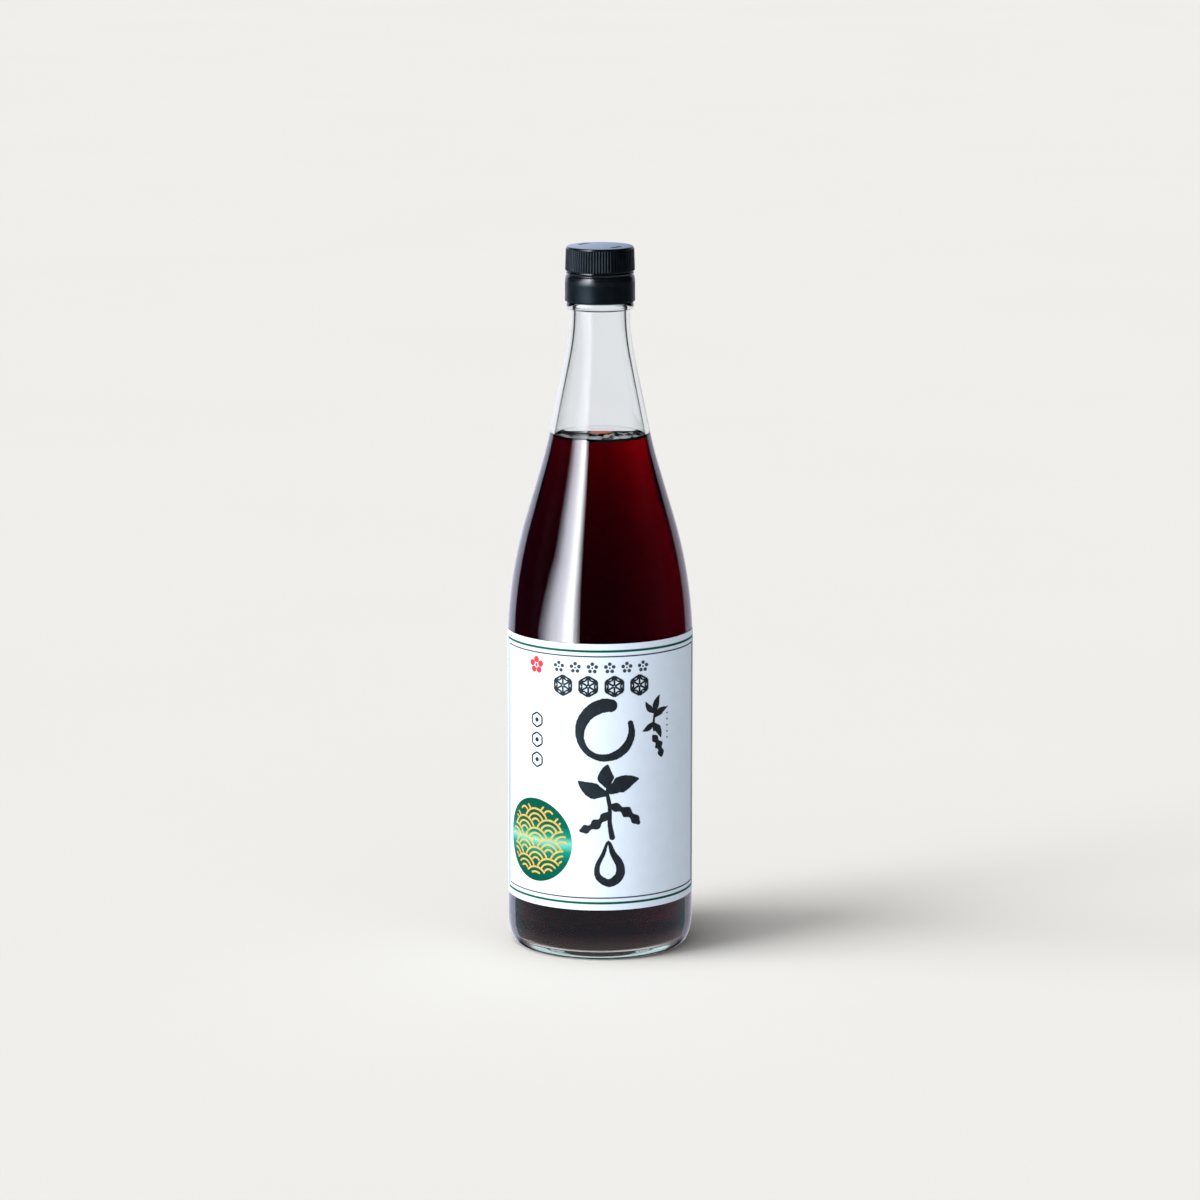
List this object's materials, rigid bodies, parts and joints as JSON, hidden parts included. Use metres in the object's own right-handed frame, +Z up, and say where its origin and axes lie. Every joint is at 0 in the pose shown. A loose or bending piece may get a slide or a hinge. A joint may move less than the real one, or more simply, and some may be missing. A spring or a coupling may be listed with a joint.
{
  "type": "soy sauce bottle",
  "caption": "Tall clear glass bottle of soy sauce with a long neck, wrap-round front paper label, black pouring collar and ribbed screw cap.",
  "frame": {"origin": "centre of the base, on the surface the bottle stands on", "axes": "+Z up along the bottle's axis, -Y out of the middle of the label, +X to the right of the label seen from in front"},
  "size_m": [0.0815, 0.0815, 0.3073],
  "materials": {
    "clear_glass": "clear, polished",
    "soy_sauce": "dark red brown liquid, nearly opaque",
    "label_paper": "white label paper, fine laid grain",
    "cap_plastic": "black moulded plastic, satin gloss"
  },
  "bodies": {
    "root": {"glass_bottle": "clear_glass", "soy_sauce": "soy_sauce", "label": "label_paper", "pour_collar": "cap_plastic", "screw_cap": "cap_plastic"}
  },
  "joints": []
}
